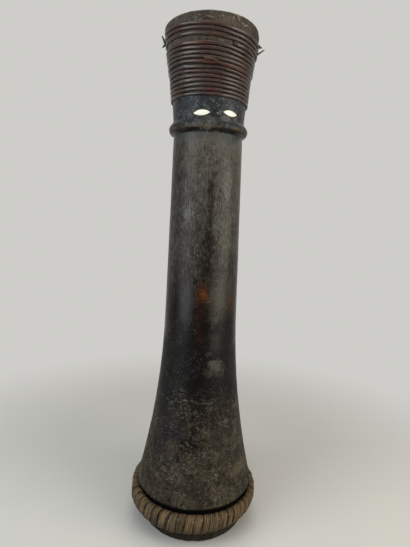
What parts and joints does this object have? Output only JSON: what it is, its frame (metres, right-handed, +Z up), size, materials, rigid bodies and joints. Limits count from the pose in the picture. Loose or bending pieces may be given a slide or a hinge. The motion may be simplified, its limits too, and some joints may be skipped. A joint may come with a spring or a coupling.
{
  "type": "hand drum",
  "caption": "Slender hourglass hand drum of dark carved wood, with a lizard-skin head bound on by split cane, shell eyes in the neck and a cane-wrapped hoop round the foot.",
  "frame": {"origin": "on the floor, under the drum's axis, with the drum standing on its open end", "axes": "+Z up along the drum's axis to the skin; -Y to the front, midway between the eyes; +X to the viewer's right"},
  "size_m": [0.164, 0.164, 0.6053],
  "materials": {
    "wood": "dark hand-rubbed patina, satin",
    "skin": "dry lizard skin, matt",
    "cane": "glossy red-brown split cane",
    "strip": "dry fibrous cane strip, matt",
    "core": "bare bent cane",
    "shell": "polished white shell",
    "gum": "dark tree gum, matt",
    "wax": "dark beeswax, satin"
  },
  "bodies": {
    "root": {"drum_body": "wood", "drum_skin": "skin", "upper_binding": "cane", "middle_binding": "cane", "lower_binding": "cane", "left_eye_gum": "gum", "left_eye_shell": "shell", "right_eye_gum": "gum", "right_eye_shell": "shell", "hoop_core": "core", "hoop_wrapping": "strip", "tuning_wax_1": "wax", "tuning_wax_2": "wax", "tuning_wax_3": "wax", "tuning_wax_4": "wax", "tuning_wax_5": "wax"}
  },
  "joints": []
}
